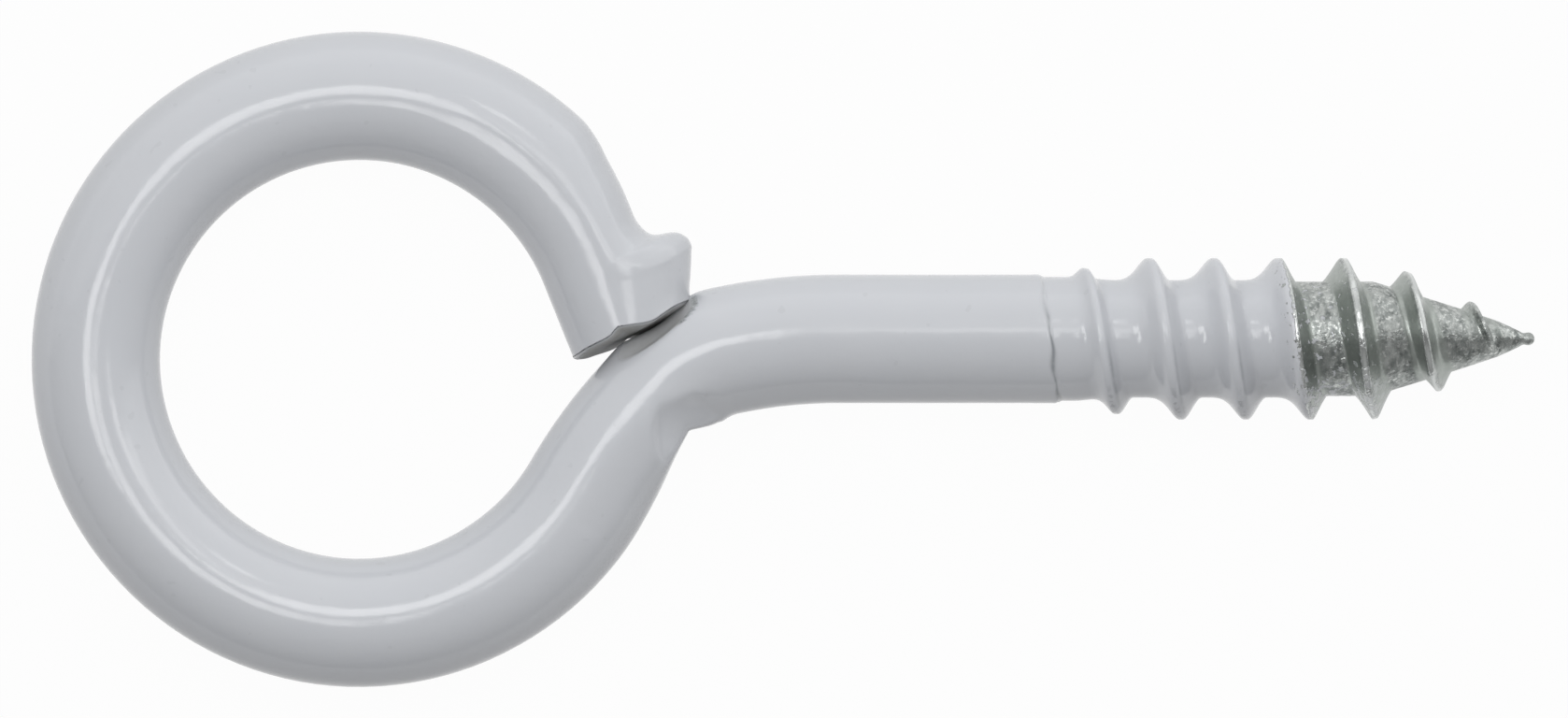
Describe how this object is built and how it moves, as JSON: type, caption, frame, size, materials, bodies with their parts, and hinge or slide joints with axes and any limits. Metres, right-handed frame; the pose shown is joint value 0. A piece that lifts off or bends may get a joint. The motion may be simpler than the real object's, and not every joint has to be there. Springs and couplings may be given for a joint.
{
  "type": "screw eye",
  "caption": "Closed wire eye on a short shank with a coarse wood thread and a gimlet point, for hanging or guiding things.",
  "frame": {"origin": "centre of the eye, halfway through the wire", "axes": "+X along the shank towards the tip, +Z square to the eye's plane; the part lies flat"},
  "size_m": [0.0465, 0.0202, 0.005],
  "materials": {
    "white_coating": "gloss white coat over zinc plated steel"
  },
  "bodies": {
    "root": {"screw_eye": "white_coating"}
  },
  "joints": []
}
